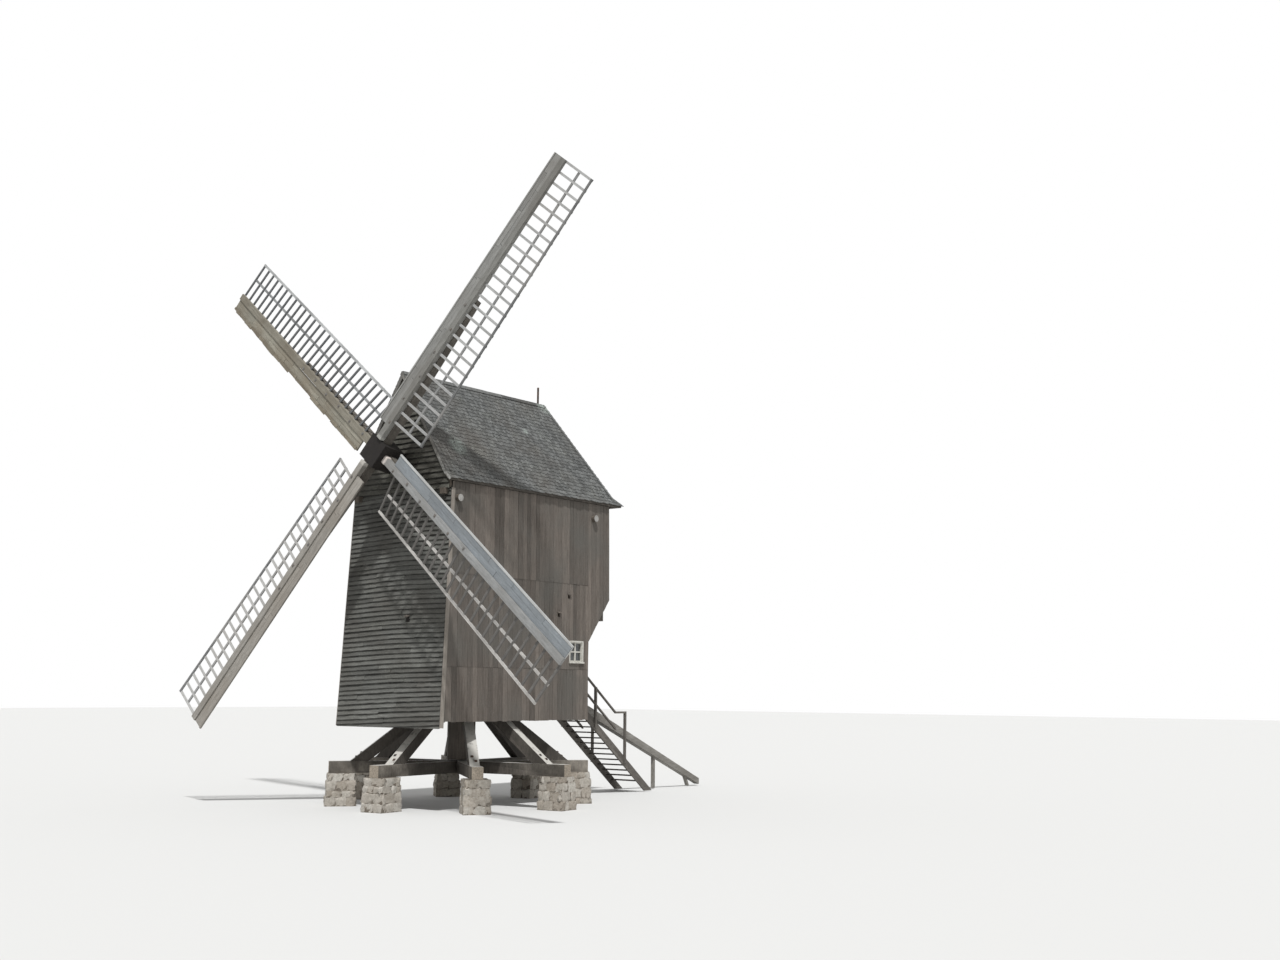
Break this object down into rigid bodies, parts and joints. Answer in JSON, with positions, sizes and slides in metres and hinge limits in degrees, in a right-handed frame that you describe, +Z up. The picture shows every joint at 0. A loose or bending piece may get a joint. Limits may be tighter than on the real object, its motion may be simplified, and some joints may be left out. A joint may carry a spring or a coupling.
{
  "type": "post windmill",
  "caption": "Wooden post mill: boarded body turning on a great post over an open trestle on stone piers, with lattice sails, hipped shingled roof, stair and tail pole.",
  "frame": {"origin": "axis of the main post at ground level, under the stone piers", "axes": "+Z up, -Y the side of the sails (front), +X the right side when facing the front from behind the camera"},
  "size_m": [17.1338, 18.5405, 19.2692],
  "materials": {
    "tarred_oak": "dark weathered oak",
    "pier_stone": "rough fieldstone",
    "sail_timber": "silvered larch",
    "front_boards": "weathered horizontal boards",
    "side_boards": "weathered upright boards",
    "roof_shingles": "weathered shingles",
    "frame_timber": "sawn oak",
    "iron_rod": "rusted",
    "white_frame": "white paint",
    "window_glass": "clear",
    "stair_timber": "grey weathered"
  },
  "bodies": {
    "trestle": {"stone_piers": "pier_stone", "cross_tree_lower": "tarred_oak", "cross_tree_upper": "tarred_oak", "cross_tree_arms": "tarred_oak", "quarter_bars": "tarred_oak", "main_post": "tarred_oak"},
    "buck": {"front_wall": "front_boards", "side_wall_right": "side_boards", "side_wall_left": "side_boards", "back_wall_lower": "side_boards", "overhang_soffit": "side_boards", "entrance_porch": "side_boards", "back_wall_upper": "side_boards", "entrance_door": "side_boards", "gable_front": "front_boards", "roof_right": "roof_shingles", "roof_left": "roof_shingles", "roof_hip": "roof_shingles", "finial": "iron_rod", "floor": "frame_timber", "floor_beams": "frame_timber", "crown_tree": "frame_timber", "wall_plates": "frame_timber", "tie_beams": "frame_timber", "neck_beam": "frame_timber", "tail_beam": "frame_timber", "rear_pendants": "frame_timber", "window_frames": "white_frame", "window_glass": "window_glass", "tail_pole": "stair_timber", "tail_props": "stair_timber", "stair_stringers": "stair_timber", "stair_treads": "stair_timber", "handrails": "stair_timber"},
    "sails": {"windshaft": "tarred_oak", "poll_end": "tarred_oak", "stocks": "sail_timber", "whip_1": "sail_timber", "lattice_1": "sail_timber", "leading_board_1": "sail_timber", "whip_2": "sail_timber", "lattice_2": "sail_timber", "leading_board_2": "sail_timber", "whip_3": "sail_timber", "lattice_3": "sail_timber", "leading_board_3": "sail_timber", "whip_4": "sail_timber", "lattice_4": "sail_timber", "leading_board_4": "sail_timber"}
  },
  "joints": [
    {"name": "buck_turn", "type": "hinge", "parent": "trestle", "child": "buck", "pos_m": [0, 0, 6.9], "axis": [0, 0, 1], "continuous": true},
    {"name": "sail_spin", "type": "hinge", "parent": "buck", "child": "sails", "pos_m": [0, -3.8, 10.73], "axis": [0, -0.9897, 0.1435], "continuous": true}
  ]
}
